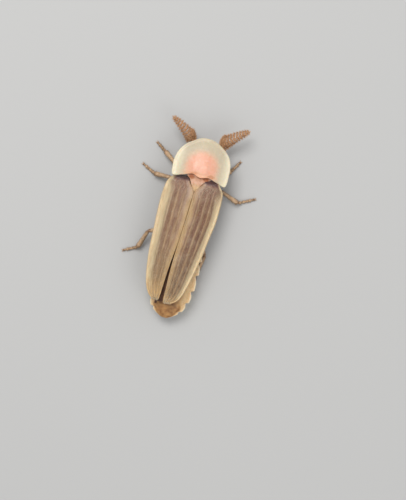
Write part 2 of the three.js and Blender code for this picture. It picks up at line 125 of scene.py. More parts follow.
SEGMENT_ENDS = (5.4, 6.4, 7.52, 8.86, 9.9, 10.72, 11.44)
# Where the lanterns' pale colour comes in along y, and where it goes out.
LANTERN_FRONT = (8.84, 8.94)
LANTERN_END = (10.74, 10.62)

LEGS = {
    "front_left": ((0.55, -0.75, 0.5), (1.8, -0.72, 0.98), (3.28, -1.84, 0.36), (4.1, -2.43, 0.06)),
    "front_right": ((-0.55, -0.75, 0.5), (-1.5, -0.68, 0.98), (-2.36, -1.5, 0.36), (-2.95, -2.45, 0.06)),
    "middle_left": ((0.6, 1.3, 0.5), (2.08, 0.2, 0.98), (3.7, 0.15, 0.36), (4.82, -0.43, 0.06)),
    "middle_right": ((-0.45, 1.3, 0.5), (-1.95, 0.3, 0.98), (-3.52, 0.9, 0.36), (-4.85, 0.24, 0.06)),
    "hind_left": ((0.65, 4.0, 0.5), (3.06, 4.88, 1.0), (3.6, 6.36, 0.36), (4.74, 6.91, 0.06)),
    "hind_right": ((-0.55, 4.0, 0.5), (-1.93, 5.75, 0.88), (-1.6, 7.25, 0.32), (-1.66, 8.85, 0.06)),
}
LEG_HAIR_RADIUS = 0.006
# Counts and lengths of the hairs on a femur, a tibia and a foot.
LEG_HAIRS = ((420, 0.12), (520, 0.12), (420, 0.09))
# How wide the patch of each hair is on the map that colours are baked to.
PATCH = 0.003
FEMUR_RADIUS = 0.22
TIBIA_RADIUS = 0.17
TARSUS_RADIUS = 0.125
COXA_PROFILE = [(0, 0.2), (0.4, 0.27), (0.8, 0.24), (1, 0.12)]
FEMUR_PROFILE = [(0, 0.5), (0.06, 0.75), (0.12, 0.55), (0.2, 0.72), (0.4, 0.98)]
FEMUR_PROFILE += [(0.6, 1.0), (0.85, 0.8), (0.95, 0.62), (1, 0.5)]
TIBIA_PROFILE = [(0, 0.5), (0.05, 0.8), (0.15, 0.78), (0.5, 0.9), (0.85, 1.1), (0.97, 1.05), (1, 0.6)]
TARSUS_ENDS = (0.0, 0.3, 0.52, 0.68, 0.8, 1.0)

SIDES = {"left": 1, "right": -1}
ANTENNAE = {
    "left": [
        (0.2, -2.92, 1.45), (0.42, -3.2, 1.36), (0.85, -3.26, 1.36), (1.3, -3.26, 1.45),
        (1.68, -3.48, 1.6), (2.26, -3.93, 1.7), (2.85, -4.34, 1.76), (3.34, -4.68, 1.8),
    ],
    "right": [
        (-0.2, -2.92, 1.45), (-0.42, -3.2, 1.36), (-0.8, -3.28, 1.36), (-1.2, -3.4, 1.45),
        (-1.6, -3.72, 1.6), (-2.16, -4.18, 1.7), (-2.7, -4.6, 1.76), (-3.12, -4.95, 1.8),
    ],
}
STALK_RADIUS = 0.07
BRANCH_RADIUS = 0.066
FRONT_BRANCH = 0.76
REAR_BRANCH = 0.5
BRANCH_PROFILE = [(0, 0.8), (0.5, 1.0), (0.9, 0.8), (1, 0.3)]
BRANCH_HAIRS = 330
BRANCH_HAIR_LENGTH = 0.16
STALK_HAIRS = 260
STALK_HAIR_LENGTH = 0.09
COMB_HAIR_RADIUS = 0.0055
ANTENNA_SEED = 400
LEG_SEED = 300
# The beads that carry branches begin at this share of a feeler; before it lie its two thick joints.
FLAGELLUM_START = 0.32
FLAGELLUM_BEADS = 13
ANTENNA_BASE = [(0, 0.9), (0.05, 1.35), (0.17, 1.5), (0.2, 0.7), (0.23, 1.0), (0.26, 1.05), (0.28, 0.7)]

HEAD_CENTRE = (0.0, -2.4, 1.38)
HEAD_RADII = (0.66, 0.6, 0.48)
EYE_RADIUS = 0.43
EYE_OUT = 0.62
JAW = [(0.16, -2.9, 0.98), (0.2, -3.06, 0.9), (0.06, -3.14, 0.86)]
PALP = [(0.13, -2.75, 0.96), (0.26, -2.92, 0.72), (0.38, -3.08, 0.55), (0.42, -3.2, 0.42)]

# The photograph's frame: what it spans at the height of the wings, and where its middle lies.
FRAME_HEIGHT = 40.43
FRAME_MIDDLE = Vector((-1.68, 5.32, 2.2))
FRAME_UP = Vector((0.240, -0.971, 0.0))
LENS = 90.0
SENSOR = 36.0

# Lights, as place, power and size in metres.
LIGHTS = {
    "key": ((0.045, -0.06, 0.14), 0.14, 0.09),
    "fill": ((-0.1, 0.06, 0.12), 0.04, 0.1),
}
SKY_STRENGTH = 0.62
FLOOR_HALF = 0.4
# What is left of a plate's half thickness at its very edge.
EDGE = 0.004


def smoothstep(low, high, value):
    share = np.clip((np.asarray(value, float) - low) / (high - low), 0, 1)
    return share * share * (3 - 2 * share)


def hump(value, middle, width):
    return np.exp(-(((value - middle) / width) ** 2))


def along(table, share):
    """Rows of a table on a smooth curve through them, at shares of its length from 0 to 1."""
    rows = np.asarray(table, float)
    last = len(rows) - 1
    place = np.clip(np.asarray(share, float), 0, 1) * last
    row = np.minimum(place.astype(int), last - 1)
    f = (place - row)[..., None]
    ends = np.vstack([2 * rows[0] - rows[1], rows, 2 * rows[-1] - rows[-2]])
    a, b, c, d = (ends[row + step] for step in range(4))
    return 0.5 * (2 * b + (c - a) * f + (2 * a - 5 * b + 4 * c - d) * f**2 + (3 * b - a - 3 * c + d) * f**3)


def at(table, y, column):
    """A table's column at y, its first column, on the same smooth curve."""
    fine = along(table, np.linspace(0, 1, 400))
    return np.interp(y, fine[:, 0], fine[:, column])


def along_pairs(pairs, share):
    """The second numbers of pairs, at shares given by the first."""
    return np.interp(share, *zip(*pairs))


def ripple(x, y, size, seed):
    """A soft uneven surface of about one unit's height, with bumps of the given size."""
    draw = random.Random(seed)
    total = np.zeros(np.broadcast(x, y).shape)
    for _ in range(7):
        angle, phase = draw.uniform(0, math.pi), draw.uniform(0, 2 * math.pi)
        pitch = 2 * math.pi / (size * draw.uniform(0.7, 1.6))
        total += np.sin(pitch * (x * math.cos(angle) + y * math.sin(angle)) + phase)
    return total / 7


def stacked(*parts):
    return np.stack(np.broadcast_arrays(*parts), -1)


def unit(vectors):
    length = np.linalg.norm(vectors, axis=-1, keepdims=True)
    return vectors / np.maximum(length, 1e-9)


class Shape:
    """Points, faces and a pair of surface coordinates for each point."""

    def __init__(self, points, faces, lanes):
        self.points = np.asarray(points, float).reshape(-1, 3)
        self.faces = [list(map(int, face)) for face in faces]
        self.lanes = np.asarray(lanes, float).reshape(-1, 2)


def joined(shapes):
    faces = []
    start = 0
    for shape in shapes:
        faces += [[start + corner for corner in face] for face in shape.faces]
        start += len(shape.points)
    return Shape(np.vstack([s.points for s in shapes]), faces, np.vstack([s.lanes for s in shapes]))


def rounded(reach, rim, thickness):
    """Half of a plate's thickness at some reach from its edge, rounded off within the rim."""
    inward = np.clip(reach / rim, 0, 1)
    return 0.5 * thickness * np.sqrt(1 - (1 - inward) ** 2) + EDGE


def plate(middle, thickness, lanes, stations, rim):
    """A closed curved plate about a middle surface, with a rounded rim of the given width."""
    u, v = np.meshgrid(lanes, stations)
    centre = middle(u, v)
    over = unit(np.cross(np.gradient(centre, axis=1), np.gradient(centre, axis=0)))
    over *= np.where(over[..., 2:] < 0, -1, 1)
    borders = (centre[:, :1], centre[:, -1:], centre[:1], centre[-1:])
    reach = np.minimum.reduce([np.linalg.norm(centre - border, axis=-1) for border in borders])
    half = rounded(reach, rim, thickness)[..., None]
    count = u.size
    index = np.arange(count).reshape(u.shape)
    first = index[:-1, :-1].ravel()
    after = index[1:, :-1].ravel()
    faces = np.stack([first, first + 1, after + 1, after], -1)
    edge = np.concatenate([index[0, :-1], index[:-1, -1], index[-1, :0:-1], index[:0:-1, 0]])
    wall = np.stack([edge, np.roll(edge, -1), np.roll(edge, -1) + count, edge + count], -1)
    points = np.stack([centre + over * half, centre - over * half])
    return Shape(points, np.vstack([faces, faces[:, ::-1] + count, wall]), [stacked(u, v)] * 2)


def ring_faces(rings, sides):
    """Faces between neighbouring rings of points."""
    ring, side = np.meshgrid(np.arange(rings - 1), np.arange(sides), indexing="ij")
    first = (ring * sides + side).ravel()
    second = (ring * sides + (side + 1) % sides).ravel()
    return np.stack([first, second, second + sides, first + sides], -1)


def shield(rim, height, thickness, rings, steps, roll):
    """A closed curved plate over a rim, with rings from the rim to its middle."""
    share = np.linspace(0, 1, steps, endpoint=False)
    looped = [rim[-1], *rim, rim[0], rim[1]]
    count = len(rim)
    outline = along(looped, (1 + share * count) / (count + 2))
    middle = outline.mean(0)
    inward = np.linspace(0, 1, rings, endpoint=False) ** 1.35
    plan = outline[None] + (middle - outline)[None] * inward[:, None, None]
    reach = np.linalg.norm(plan - outline[None], axis=-1)
    half = rounded(reach, roll, thickness)
    z = height(plan[..., 0], plan[..., 1], 1 - inward[:, None] + 0 * plan[..., 0])
    top = np.dstack([plan, z + half])
    bottom = np.dstack([plan, z - half])
    centre = height(middle[0], middle[1], np.array(0.0))
    poles = [[*middle, centre + thickness / 2], [*middle, centre - thickness / 2]]
    faces = ring_faces(rings, steps)
    size = rings * steps
    spot = np.arange(steps)
    beside = (spot + 1) % steps
    wall = np.stack([beside, spot, spot + size, beside + size], -1)
    last = size - steps
    fan = [[last + a, last + b, 2 * size] for a, b in zip(spot, beside)]
    under = [[size + last + b, size + last + a, 2 * size + 1] for a, b in zip(spot, beside)]
    points = np.vstack([top.reshape(-1, 3), bottom.reshape(-1, 3), poles])
    lanes = points[:, :2] * 0.1 + 0.5
    sheets = np.vstack([faces, faces[:, ::-1] + size, wall]).tolist()
    return Shape(points, sheets + fan + under, lanes)


def loft(rings, lanes):
    """A closed skin through rings of points."""
    count, sides, _ = rings.shape
    faces = ring_faces(count, sides).tolist()
    start, end = count * sides, count * sides + 1
    last = (count - 1) * sides
    for side in range(sides):
        after = (side + 1) % sides
        faces.append([start, after, side])
        faces.append([end, last + side, last + after])
    points = np.vstack([rings.reshape(-1, 3), rings[0].mean(0), rings[-1].mean(0)])
    ends = [lanes[0].mean(0), lanes[-1].mean(0)]
    return Shape(points, faces, np.vstack([lanes.reshape(-1, 2), ends]))


def frames(route):
    """Directions along, across and over a route that turn as little as they can."""
    tangent = unit(np.gradient(route, axis=0))
    over = np.zeros_like(tangent)
    start = np.array([0.0, 0.0, 1.0])
    for i, direction in enumerate(tangent):
        start = start - direction * np.dot(start, direction)
        start = start / max(np.linalg.norm(start), 1e-9)
        over[i] = start
    return tangent, np.cross(tangent, over), over


def tube(points, radii, sides, stations, flat=1.0):
    """A limb on a smooth route through points, with radii given as share and radius pairs."""
    share = np.linspace(0, 1, stations)
    route = along(points, share)
    size = along_pairs(radii, share)
    _, across, over = frames(route)
    angle = np.linspace(0, 2 * math.pi, sides, endpoint=False)
    level = across[:, None] * np.cos(angle)[:, None]
    upright = flat * over[:, None] * np.sin(angle)[:, None]
    rings = route[:, None] + (level + upright) * size[:, None, None]
    height = 0.5 + 0.5 * np.sin(angle)
    lanes = stacked(height[None], share[:, None])
    return loft(rings, lanes)


def egg(centre, radii, columns, rows, bend=None):
    """A closed ball with three radii, which bend may shift."""
    down = np.linspace(0.03, math.pi - 0.03, rows)
    round_ = np.linspace(0, 2 * math.pi, columns, endpoint=False)
    spot = stacked(
        np.sin(down)[:, None] * np.cos(round_)[None],
        np.cos(down)[:, None],
        np.sin(down)[:, None] * np.sin(round_)[None],
    )
    rings = np.asarray(centre) + spot * np.asarray(radii)
    if bend:
        rings = bend(rings, spot)
    lanes = stacked(0.5 + 0.5 * spot[..., 2], (down / math.pi)[:, None])
    return loft(rings, lanes)


def hair_shape(roots, directions, lengths, radius, patches):
    """Fine solid hairs: a bent three-sided cone on each root, with a small patch of the map each."""
    directions = unit(directions)
    lengths = lengths[:, None]
    down = np.array([0.0, 0.0, -1.0])
    tips = roots + directions * lengths + down * lengths * 0.22
    middles = roots + directions * lengths * 0.55 + down * lengths * 0.03
    across = unit(np.cross(directions, np.array([0.31, 0.17, 0.93])))
    over = np.cross(directions, across)
    corners = []
    for spot, share in ((roots, 1.0), (middles, 0.62)):
        for side in range(3):
            angle = side * 2 * math.pi / 3
            corners.append(spot + radius * share * (across * math.cos(angle) + over * math.sin(angle)))
    corners.append(tips)
    points = np.stack(corners, 1)
    pattern = [(0, 2, 1), (3, 4, 6), (4, 5, 6), (5, 3, 6), (0, 1, 4, 3), (1, 2, 5, 4), (2, 0, 3, 5)]
    faces = [[i * 7 + corner for corner in face] for i in range(len(roots)) for face in pattern]
    offsets = np.array([(0, 0), (1, 0), (0.5, 0.3), (0, 0.6), (1, 0.6), (0.5, 0.8), (0.5, 1.0)]) * PATCH
    return Shape(points, faces, patches[:, None] * 0.99 + offsets)


def add_object(name, data):
    made = bpy.data.objects.new(name, data)
    bpy.context.scene.collection.objects.link(made)
    return made


def add_piece(name, shape, material, stands_for=(), layer="Lanes"):
    """Makes a scene object of a shape, on the animal's one body."""
    mesh = bpy.data.meshes.new(name)
    mesh.from_pydata(((shape.points + SHIFT) * MM).tolist(), [], shape.faces)
    mesh.validate()
    corners = np.zeros(len(mesh.loops), int)
    mesh.loops.foreach_get("vertex_index", corners)
    mesh.uv_layers.new(name=layer).data.foreach_set("uv", shape.lanes[corners].ravel())
    work = bmesh.new()
    work.from_mesh(mesh)
    bmesh.ops.recalc_face_normals(work, faces=work.faces)
    work.to_mesh(mesh)
    work.free()
    mesh.shade_smooth()
    mesh.materials.append(material)
    piece = add_object(name, mesh)
    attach(piece, "root")
    if stands_for:
        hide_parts(*stands_for)


class Finish:
    """A node material that is built up by short calls."""

    def __init__(self, name, roughness, specular=0.5, scatter=0.0, coat=0.0):
        self.material = bpy.data.materials.new(name)
        self.material.use_nodes = True
        self.nodes = self.material.node_tree.nodes
        self.links = self.material.node_tree.links
        self.shader = self.nodes["Principled BSDF"]
        values = {"Roughness": roughness, "Specular IOR Level": specular}
        values |= {"Coat Weight": coat, "Coat Roughness": 0.25}
        if scatter:
            values |= {"Subsurface Weight": scatter, "Subsurface Radius": (0.3, 0.15, 0.08)}
            values["Subsurface Scale"] = 0.6 * MM
        for socket, value in values.items():
            self.shader.inputs[socket].default_value = value

    def node(self, kind, inputs, **settings):
        """A new node with its settings, and its inputs fed with sockets or plain values."""
        made = self.nodes.new("ShaderNode" + kind)
        for key, value in settings.items():
            setattr(made, key, value)
        for key, value in inputs.items():
            if isinstance(value, bpy.types.NodeSocket):
                self.links.new(value, made.inputs[key])
            else:
                made.inputs[key].default_value = value
        return made

    def parts(self, vector):
        return self.node("SeparateXYZ", {0: vector}).outputs

    def lanes(self):
        lane, share, _ = self.parts(self.node("UVMap", {}, uv_map="Lanes").outputs[0])
        return lane, share

    def place(self):
        """Where a point lies, in the millimetres of the sizes above."""
        values = {0: self.node("TexCoord", {}).outputs["Object"], 1: (1 / MM,) * 3, 2: tuple(-SHIFT)}
        return self.node("VectorMath", values, operation="MULTIPLY_ADD").outputs[0]

    def stretch(self, vector, scale):
        return self.node("VectorMath", {0: vector, 1: scale}, operation="MULTIPLY").outputs[0]

    def math(self, operation, a, b=0.0):
        return self.node("Math", {0: a, 1: b}, operation=operation).outputs[0]

    def off(self, value, middle, half, power):
        """How far a value lies from the middle of a span, 1 at its ends, to a power."""
        away = self.math("ABSOLUTE", self.math("DIVIDE", self.math("SUBTRACT", value, middle), half))
        return self.math("POWER", away, power)

    def fade(self, value, low, high, start=0.0, end=1.0):
        values = {"Value": value, "From Min": low, "From Max": high, "To Min": start, "To Max": end}
        return self.node("MapRange", values, interpolation_type="SMOOTHSTEP").outputs["Result"]

    def noise(self, vector, scale, detail=3.0):
        values = {"Vector": vector, "Scale": scale, "Detail": detail, "Roughness": 0.55}
        return self.node("TexNoise", values).outputs["Fac"]

    def warped(self, vector, scale, amount):
        """A place shifted in plan by soft noise, so that a marking's edge is uneven."""
        noise = self.node("TexNoise", {"Vector": vector, "Scale": scale, "Detail": 4.0})
        values = {0: noise.outputs["Color"], 1: (amount, amount, 0.0), 2: vector}
        return self.node("VectorMath", values, operation="MULTIPLY_ADD").outputs[0]

    def cells(self, vector, scale, feature="F1"):
        made = self.node("TexVoronoi", {"Vector": vector, "Scale": scale}, feature=feature)
        return made.outputs["Distance"]

    def ramp(self, value, stops):
        made = self.node("ValToRGB", {0: value})
        made.color_ramp.interpolation = "B_SPLINE" if len(stops) > 3 else "LINEAR"
        elements = made.color_ramp.elements
        while len(elements) < len(stops):
            elements.new(0.5)
        for element, (place, colour) in zip(elements, stops):
            element.position = place
            element.color = colour
        return made.outputs[0]

    def shades(self, value, deep, light):
        """An even run between two colours."""
        return self.ramp(value, [(0.3, deep), (0.7, light)])

    def mix(self, share, a, b, blend="MIX"):
        values = {0: share, 6: a, 7: b}
        return self.node("Mix", values, data_type="RGBA", blend_type=blend).outputs[2]

    def spots(self, x, y, centres, halves, strength, colour, shade):
        """The colour with soft round spots of a shade on it."""
        for middle, row in centres:
            away = self.math("ADD", self.off(x, middle, halves[0], 2.0), self.off(y, row, halves[1], 2.0))
            colour = self.mix(self.fade(away, 1.2, 0.1, 0.0, strength), colour, shade)
        return colour

    def colour(self, value):
        self.links.new(value, self.shader.inputs["Base Color"])

    def bump(self, height, depth, strength):
        """Relief of the given depth in millimetres, on top of any relief already there."""
        values = {"Strength": strength, "Distance": depth * MM, "Height": height}
        normal = self.shader.inputs["Normal"]
        if normal.links:
            values["Normal"] = normal.links[0].from_socket
        self.links.new(self.node("Bump", values).outputs[0], normal)


def tint(red, green, blue):
    """A colour given as the 0 to 255 values of a screen."""
    linear = [((v / 255 + 0.055) / 1.055) ** 2.4 if v > 10 else v / 255 / 12.92 for v in (red, green, blue)]
    return (*linear, 1.0)


CREAM = tint(226, 214, 184)
CREAM_GREY = tint(196, 182, 156)
PINK = tint(230, 162, 133)
PINK_EDGE = tint(228, 180, 150)
# The covers' browns, middle then rear. The right cover's are darker by painted shade, as it is turned from
# the light.
BROWNS_RIGHT_IN_PAINTED_SHADE = {
    "left": (tint(131, 98, 76), tint(140, 115, 84)),
    "right": (tint(116, 80, 62), tint(116, 91, 66)),
}
# The shoulders' mauve is partly their own tone and partly a painted sheen of the hairs, which lightens it.
MAUVE_WITH_PAINTED_SHEEN = tint(184, 158, 146)
MAUVE_DEEP = tint(140, 106, 94)
MAUVE_SEAM = tint(180, 146, 120)
MAUVE_RIB = tint(156, 124, 108)
SEAM_PALE = tint(180, 150, 108)
RIB = tint(170, 141, 108)
AMBER = tint(158, 112, 66)
AMBER_DEEP = tint(112, 74, 42)
TAN = tint(212, 178, 140)
TAN_DEEP = tint(146, 110, 80)
COMB = tint(208, 160, 116)
COMB_DEEP = tint(160, 110, 72)


def elytron_finish(side, shoulder, margin, seam, tip):
    """A ribbed wing cover: brown with pale ribs, a pale seam band and a wide pale margin. Its front mauve
    is lightened by a painted sheen, its base carries a band of painted shade under the hood, and on the
    right cover the browns are darker by painted shade.
    """
    look = Finish("elytron_" + side, 0.42, specular=0.45, scatter=0.12, coat=0.06)
    brown, brown_rear = BROWNS_RIGHT_IN_PAINTED_SHADE[side]
    lane, share = look.lanes()
    place = look.place()
    drift = look.fade(look.noise(look.stretch(place, (1.0, 0.3, 1.0)), 1.8), 0.2, 0.8, -0.03, 0.03)
    lane = look.math("ADD", lane, drift)
    # The front's mauve carries a painted sheen; the right cover's browns carry painted shade.
    front = elytron_stops(shoulder, seam, MAUVE_WITH_PAINTED_SHEEN, MAUVE_DEEP, MAUVE_SEAM, MAUVE_RIB)
    middle = elytron_stops(margin, seam * 1.2, tint(166, 134, 104), brown, SEAM_PALE, RIB)
    rear = elytron_stops(margin, 0.1, tint(168, 142, 106), brown_rear, SEAM_PALE, RIB)
    colour = look.mix(look.fade(share, 0.1, 0.36), look.ramp(lane, front), look.ramp(lane, middle))
    colour = look.mix(look.fade(share, 0.42, 0.78), colour, look.ramp(lane, rear))
    colour = look.mix(look.fade(share, tip, tip + 0.15, 0.0, 0.85), colour, tint(208, 172, 120))
    streaks = look.noise(look.stretch(place, (9.0, 0.8, 9.0)), 1.0, detail=5.0)
    streaks = look.shades(streaks, tint(90, 70, 58), tint(236, 222, 204))
    colour = look.mix(0.4, colour, streaks, "SOFT_LIGHT")
    blotches = look.noise(place, 1.3, detail=2.0)
    colour = look.mix(look.fade(blotches, 0.45, 0.75, 0.0, 0.25), colour, tint(186, 160, 134))
    # Painted shade: a dark band across the base of the cover, where it runs under the hood's hind edge.
    inner = look.fade(lane, 0.9, 0.7, 0.3, 1.0)
    painted_shade_under_hood = look.math("MULTIPLY", look.fade(share, 0.105, 0.055), inner)
    colour = look.mix(painted_shade_under_hood, colour, tint(84, 58, 56))
    look.colour(colour)
    look.bump(look.cells(place, 17.0), 0.018, 0.6)
    look.bump(look.noise(place, 30.0, detail=4.0), 0.008, 0.5)
    return look.material


def elytron_stops(margin, seam, light, deep, pale, rib):
    """Colours from the seam to the margin, with the pale ribs between."""
    stops = [(0.0, pale), (seam, pale), (seam + 0.05, light)]
    for lane in RIB_LANES:
        if seam + 0.08 < lane < margin - 0.03:
            stops += [(lane - 0.05, deep), (lane, rib), (lane + 0.05, deep)]
    left = 1 - margin
    stops += [(margin, deep), (margin + 0.2 * left, tint(192, 174, 140))]
    return stops + [(margin + 0.6 * left, tint(226, 204, 166)), (1.0, tint(218, 192, 150))]


def pronotum_finish():
    """A pale shield with a pink middle, brighter at its rim, and orange-brown spots at the hind edge, which
    are the cuticle beneath that edge darkened by painted shade.
    """
    look = Finish("pronotum_shell", 0.38, specular=0.45, scatter=0.25, coat=0.1)
    place = look.place()
    x, y, _ = look.parts(look.warped(place, 1.3, 0.34))
    side = look.off(x, 0.19, 1.42, 2.2)
    ahead = look.off(y, -0.85, 1.5, 2.2)
    reach = look.math("ADD", side, ahead)
    stops = [(0.0, tint(232, 174, 148)), (0.34, PINK), (0.6, PINK_EDGE), (1.0, CREAM_GREY)]
    pink = look.ramp(look.math("MULTIPLY", reach, 0.78), stops)
    rim = look.off(x, 0.15, 2.3, 1.0)
    shell = look.mix(look.fade(rim, 0.55, 0.95), CREAM_GREY, CREAM)
    front = look.fade(y, -2.2, -3.3)
    shell = look.mix(look.math("MULTIPLY", front, 0.5), shell, tint(206, 190, 158))
    colour = look.mix(look.fade(reach, 0.15, 1.75), pink, shell)
    mottle = look.noise(place, 5.0, detail=5.0)
    colour = look.mix(look.fade(mottle, 0.4, 0.75, 0.0, 0.14), colour, tint(240, 228, 206))
    hind = look.math("MULTIPLY", look.fade(y, -0.6, -0.3), look.fade(rim, 0.75, 0.4, 0.0, 0.55))
    colour = look.mix(hind, colour, tint(226, 178, 138))
    # The spots are orange-brown cuticle beneath the hood's hind edge, darkened by painted shade.
    centres = ((0.66, -0.3), (-0.7, -0.3))
    look.colour(look.spots(x, y, centres, (0.34, 0.14), 0.5, colour, tint(184, 108, 60)))
    look.bump(look.cells(place, 14.0), 0.012, 0.5)
    look.bump(mottle, 0.02, 0.4)
    return look.material


def scutellum_finish():
    """Pink in front, ochre at the tip, with an orange-brown hollow on each side of the middle, where
    orange-brown cuticle is darkened by painted shade under the hood's hind edge.
    """
    look = Finish("scutellum_shell", 0.4, specular=0.45, scatter=0.2)
    place = look.place()
    x, y, _ = look.parts(place)
    mottle = look.noise(place, 4.0, detail=4.0)
    pink = look.shades(mottle, tint(198, 148, 118), tint(220, 176, 150))
    ochre = look.shades(mottle, tint(190, 150, 106), tint(220, 184, 140))
    colour = look.mix(look.fade(y, 0.15, 0.7), pink, ochre)
    # The spots are orange-brown cuticle, darkened by painted shade where the hood's hind edge overhangs
    # them.
    centres = ((0.62, -0.22), (-0.55, -0.22))
    look.colour(look.spots(x, y, centres, (0.3, 0.26), 0.8, colour, tint(168, 96, 52)))
    look.bump(look.cells(place, 16.0), 0.012, 0.6)
    look.bump(mottle, 0.02, 0.5)
    return look.material


def membrane_finish():
    """Dark folded hindwings with fine creases."""
    look = Finish("hindwing_membrane", 0.4, specular=0.5)
    creases = look.noise(look.stretch(look.place(), (14.0, 1.0, 4.0)), 1.0, detail=4.0)
    look.colour(look.shades(creases, tint(60, 33, 21), tint(112, 72, 46)))
    look.bump(creases, 0.03, 0.7)
    return look.material


def cuticle_finish(name, light, deep, roughness=0.45, scatter=0.1, grain=9.0, joints=0.0):
    """Plain brown cuticle, mottled and finely pitted, lighter on top and darker underneath by painted light
    and shade, and darker at the ends of a limb's joints.
    """
    look = Finish(name, roughness, specular=0.45, scatter=scatter)
    place = look.place()
    mottle = look.noise(place, grain * 0.35, detail=4.0)
    height, share = look.lanes()
    # Painted light and shade: the lane's height makes the top of each part lighter and its underside
    # darker.
    shade = look.math("ADD", look.math("MULTIPLY", mottle, 0.8), look.math("MULTIPLY", height, 0.25))
    ends = look.off(share, 0.5, 0.5, 1.0)
    shade = look.math("SUBTRACT", shade, look.fade(ends, 0.7, 1.0, 0.0, joints))
    look.colour(look.ramp(shade, [(0.3, deep), (0.75, light)]))
    look.bump(look.cells(place, grain * 2), 0.012, 0.6)
    look.bump(look.noise(place, grain * 3, detail=3.0), 0.006, 0.5)
    return look.material


def abdomen_finish():
    """Amber above, brown beneath, cream side lobes and two pale lanterns near the tail."""
    look = Finish("abdomen_skin", 0.4, specular=0.45, scatter=0.2)
    height, _ = look.lanes()
    place = look.place()
    _, y, _ = look.parts(place)
    mottle = look.noise(place, 3.0, detail=4.0)
    fine = look.noise(place, 9.0, detail=4.0)
    back = look.shades(mottle, AMBER_DEEP, AMBER)
    edges = look.shades(mottle, tint(176, 128, 76), tint(212, 168, 108))
    back = look.mix(look.fade(height, 0.97, 0.88), back, edges)
    tail = look.shades(mottle, tint(138, 92, 50), tint(190, 142, 88))
    back = look.mix(look.fade(y, 10.15, 10.5), back, tail)
    belly = look.shades(mottle, tint(96, 66, 42), tint(150, 112, 76))
    lantern = look.shades(fine, tint(222, 210, 158), tint(242, 236, 200))
    lit = look.math("MULTIPLY", look.fade(y, *LANTERN_FRONT), look.fade(y, *LANTERN_END))
    belly = look.mix(lit, belly, lantern)
    inner = look.math("ADD", height, look.fade(y, 9.8, 10.6, 0.0, 0.2))
    lobe = look.ramp(fine, [(0.25, tint(206, 166, 114)), (0.75, tint(228, 198, 152))])
    lobe = look.mix(look.fade(height, 0.62, 0.5), lobe, tint(240, 222, 188))
    above = look.mix(look.fade(inner, 0.94, 0.8), back, lobe)
    look.colour(look.mix(look.fade(height, 0.36, 0.43), belly, above))
    look.bump(look.cells(place, 16.0), 0.012, 0.5)
    look.bump(mottle, 0.03, 0.4)
    return look.material


def eye_finish():
    """A black compound eye of fine facets."""
    look = Finish("eye", 0.2, specular=0.35, coat=0.15)
    place = look.place()
    facets = look.cells(place, 34.0, "DISTANCE_TO_EDGE")
    look.colour(look.ramp(facets, [(0.0, tint(8, 6, 5)), (0.2, tint(26, 19, 15))]))
    look.bump(facets, 0.03, 0.9)
    return look.material


def hair_finish(name, deep, light):
    look = Finish(name, 0.5, specular=0.4)
    look.colour(look.shades(look.noise(look.place(), 2.0), deep, light))
    return look.material


def roof_height(x, y):
    seam = at(ELYTRON_RIGHT, y, 1)
    reach = np.abs(x - seam) / ROOF_HALF
    return at(ROOF, y, 1) - at(ROOF, y, 2) * reach**2.2 + 0.22 * smoothstep(0.75, 1.1, reach)


def elytron_surface(stations, seed):
    """The middle surface of a wing cover, with ribs, a beaded seam, a gutter and a raised edge."""

    def middle(u, v):
        row = along(stations, v)
        y = row[..., 0]
        fold = smoothstep(FOLD_LANE, 1.0, u)
        x = row[..., 1] + (row[..., 2] - row[..., 1]) * (u - 0.022 * fold)
        fade = smoothstep(0.02, 0.12, v) * (1 - smoothstep(0.84, 0.96, v))
        z = roof_height(x, y) - 0.05 - FOLD_DEPTH * fold * (1 - smoothstep(0.8, 0.97, v))
        for lane, rise in zip(RIB_LANES, RIB_RISES):
            z = z + rise * fade * hump(u + 0.006 * ripple(v, 0 * v, 0.2, seed), lane, 0.02)
        z = z + 0.05 * hump(u, 0.02, 0.018) * smoothstep(0.1, 0.16, v)
        z = z - 0.07 * fade * hump(u, 0.86, 0.06) + 0.04 * hump(u, 0.95, 0.018)
        z = z + 0.1 * hump(u, 0.62, 0.16) * hump(v, 0.07, 0.035)
        z = z - 0.34 * (1 - smoothstep(0.0, 0.065, v))
        z = z + 0.014 * ripple(x, y * 0.35, 0.32, seed + 1) + 0.008 * ripple(x, y, 0.13, seed + 2)
        return np.stack([x, y, z], -1)

    return middle


def lanes_with_edges(count, edge=0.012):
    """Evenly spread places from 0 to 1, with closer ones at both ends."""
    close = np.array([0, edge / 3, edge])
    return np.concatenate([close, np.linspace(2 * edge, 1 - 2 * edge, count), 1 - close[::-1]])


def make_elytron(side, stations, shoulder, margin, seam, tip, seed):
    """A thin ribbed cover and its short hairs. The brown ends at the shoulder's and margin's lanes."""
    surface = elytron_surface(stations, seed)
    lanes = np.unique(np.concatenate([lanes_with_edges(74), np.linspace(FOLD_LANE, 1, 14)[:-1]]))
    shape = plate(surface, ELYTRON_THICKNESS, lanes, lanes_with_edges(170, 0.004), rim=0.08)
    material = elytron_finish(side, shoulder, margin, seam, tip)
    add_piece("elytron_%s_shell" % side, shape, material, ["elytron_" + side])
    coat_elytron(surface, "elytron_%s_hair" % side, seed)


def coat_elytron(surface, name, seed):
    """Short fine hairs that lie back along a wing cover."""
    draw = np.random.default_rng(seed)
    count = ELYTRON_HAIRS
    u = draw.uniform(0.01, 0.99, count)
    v = draw.uniform(0.09, 0.97, count)
    here = surface(u, v)
    back = unit(surface(u, np.clip(v + 0.01, 0, 1)) - here)
    aside = unit(surface(np.clip(u + 0.01, 0, 1), v) - here)
    over = unit(np.cross(aside, back))
    over *= np.where(over[:, 2:] < 0, -1, 1)
    roots = here + over * (ELYTRON_THICKNESS / 2 - 0.01)
    direction = back + over * draw.uniform(0.28, 0.5, (count, 1)) + aside * draw.normal(0, 0.22, (count, 1))
    lengths = ELYTRON_HAIR_LENGTH * draw.uniform(0.7, 1.2, count)
    shape = hair_shape(roots, direction, lengths, ELYTRON_HAIR_RADIUS, np.stack([u, v], -1))
    add_piece(name, shape, MATERIALS["pale_hair"], layer="OFBake")


